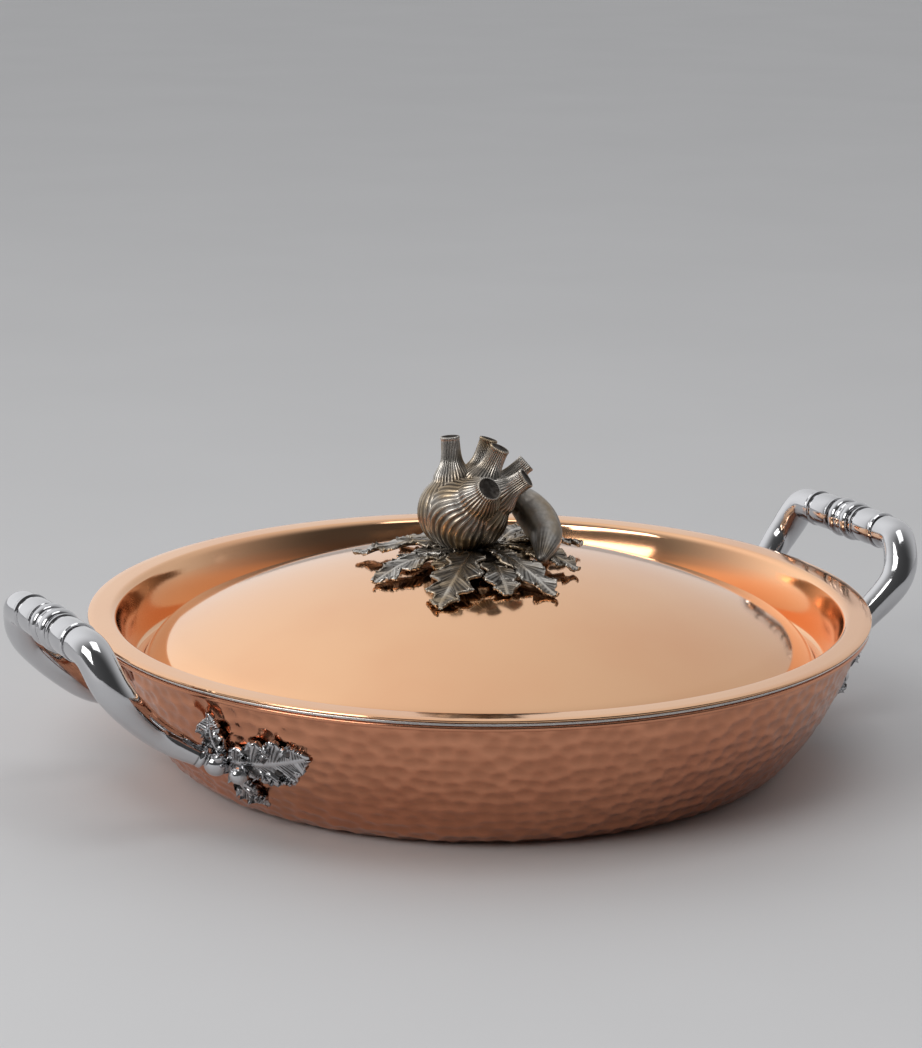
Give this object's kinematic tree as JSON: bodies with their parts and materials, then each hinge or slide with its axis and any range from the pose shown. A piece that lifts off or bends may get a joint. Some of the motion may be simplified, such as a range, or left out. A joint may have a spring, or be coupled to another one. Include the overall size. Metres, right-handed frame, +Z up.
{
  "type": "serving pan",
  "caption": "Round hammered copper serving pan with bowed metal handles and a domed lid that lifts off by a cast vegetable knob",
  "frame": {"origin": "middle of the base, on the table", "axes": "+Z up, +X through the middle of the right-hand handle"},
  "size_m": [0.3658, 0.3, 0.1222],
  "materials": {
    "hammered_copper": "hammered and polished copper",
    "polished_copper": "mirror polished copper",
    "bright_lining": "satin stainless lining",
    "polished_handle": "polished stainless bar",
    "cast_foot": "polished casting with dark recesses",
    "plain_steel": "plain steel",
    "aged_silver": "cast metal with antique silver patina"
  },
  "bodies": {
    "pan": {"arm_rivets": "plain_steel", "berry_rivets": "cast_foot", "foot_leaves_left_back": "cast_foot", "foot_leaves_left_front": "cast_foot", "foot_leaves_right_back": "cast_foot", "foot_leaves_right_front": "cast_foot", "handle_arm_left_back": "polished_handle", "handle_arm_left_front": "polished_handle", "handle_arm_right_back": "polished_handle", "handle_arm_right_front": "polished_handle", "handle_grip_left": "polished_handle", "handle_grip_right": "polished_handle", "pan_lining": "bright_lining", "pan_shell": "hammered_copper"},
    "lid": {"knob_fennel": "aged_silver", "knob_leaf_01": "aged_silver", "knob_leaf_02": "aged_silver", "knob_leaf_03": "aged_silver", "knob_leaf_04": "aged_silver", "knob_leaf_05": "aged_silver", "knob_leaf_06": "aged_silver", "knob_leaf_07": "aged_silver", "knob_leaf_08": "aged_silver", "knob_leaf_09": "aged_silver", "knob_leaf_10": "aged_silver", "knob_marrow": "aged_silver", "knob_nut": "plain_steel", "knob_plate": "aged_silver", "knob_stud": "plain_steel", "knob_washer": "plain_steel", "lid_lining": "bright_lining", "lid_shell": "polished_copper"}
  },
  "joints": [
    {"name": "lid_lift", "type": "slide", "parent": "pan", "child": "lid", "axis": [0, 0, 1], "range_m": [0, 0.15]}
  ]
}
